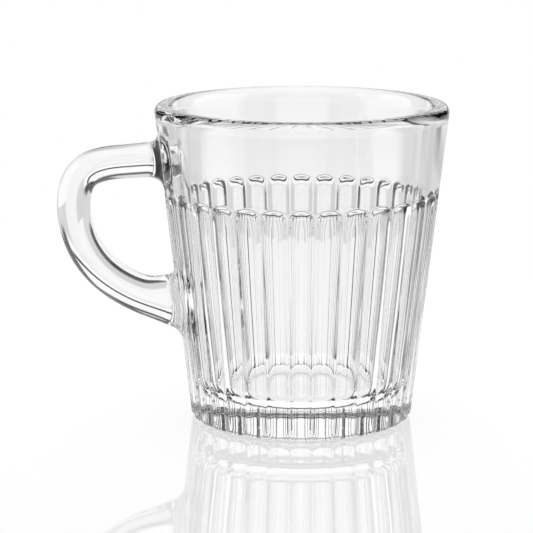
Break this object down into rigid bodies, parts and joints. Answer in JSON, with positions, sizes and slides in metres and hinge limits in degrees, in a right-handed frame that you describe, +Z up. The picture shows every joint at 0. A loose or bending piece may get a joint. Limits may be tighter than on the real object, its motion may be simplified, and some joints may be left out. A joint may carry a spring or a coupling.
{
  "type": "glass tea mug",
  "caption": "Clear pressed-glass tea mug: thick tapered bowl with a plain band under the rounded rim, flutes below, a heavy solid foot and a loop handle fused on at two roots.",
  "frame": {"origin": "centre of the flat underside, on the bowl's axis, at table height", "axes": "+Z up along the bowl's axis, -X towards the handle, +Y away from the viewer of the picture"},
  "size_m": [0.1107, 0.0828, 0.09],
  "materials": {
    "bowl_glass": "fire-polished, clear",
    "handle_glass": "fire-polished, clear"
  },
  "bodies": {
    "root": {"bowl": "bowl_glass", "handle": "handle_glass"}
  },
  "joints": []
}
